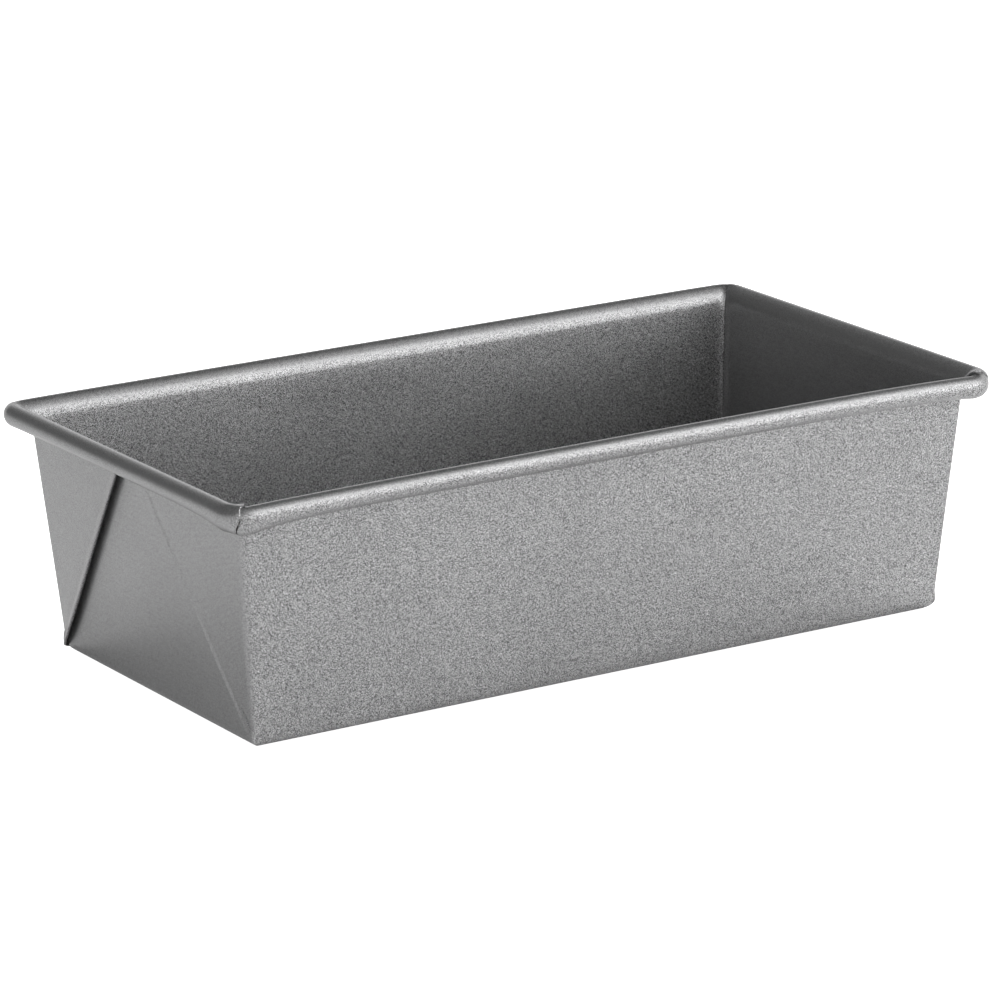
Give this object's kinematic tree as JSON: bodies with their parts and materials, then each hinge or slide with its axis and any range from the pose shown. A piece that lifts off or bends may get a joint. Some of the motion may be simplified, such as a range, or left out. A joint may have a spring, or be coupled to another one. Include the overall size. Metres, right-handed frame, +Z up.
{
  "type": "loaf pan",
  "caption": "Tapered rectangular baking pan folded from one steel sheet, with pleated end corners and a rim rolled round a stiffening wire.",
  "frame": {"origin": "centre of the underside, on the surface that the pan stands on", "axes": "+X along the pan's length, +Y across its width, +Z up through the open top"},
  "size_m": [0.2694, 0.144, 0.077],
  "materials": {
    "coated_sheet": "satin grey bakeware coating with a fine light and dark speckle, over steel sheet",
    "wire": "plain drawn steel wire"
  },
  "bodies": {
    "root": {"folded_pan_body": "coated_sheet", "rim_wire": "wire"}
  },
  "joints": []
}
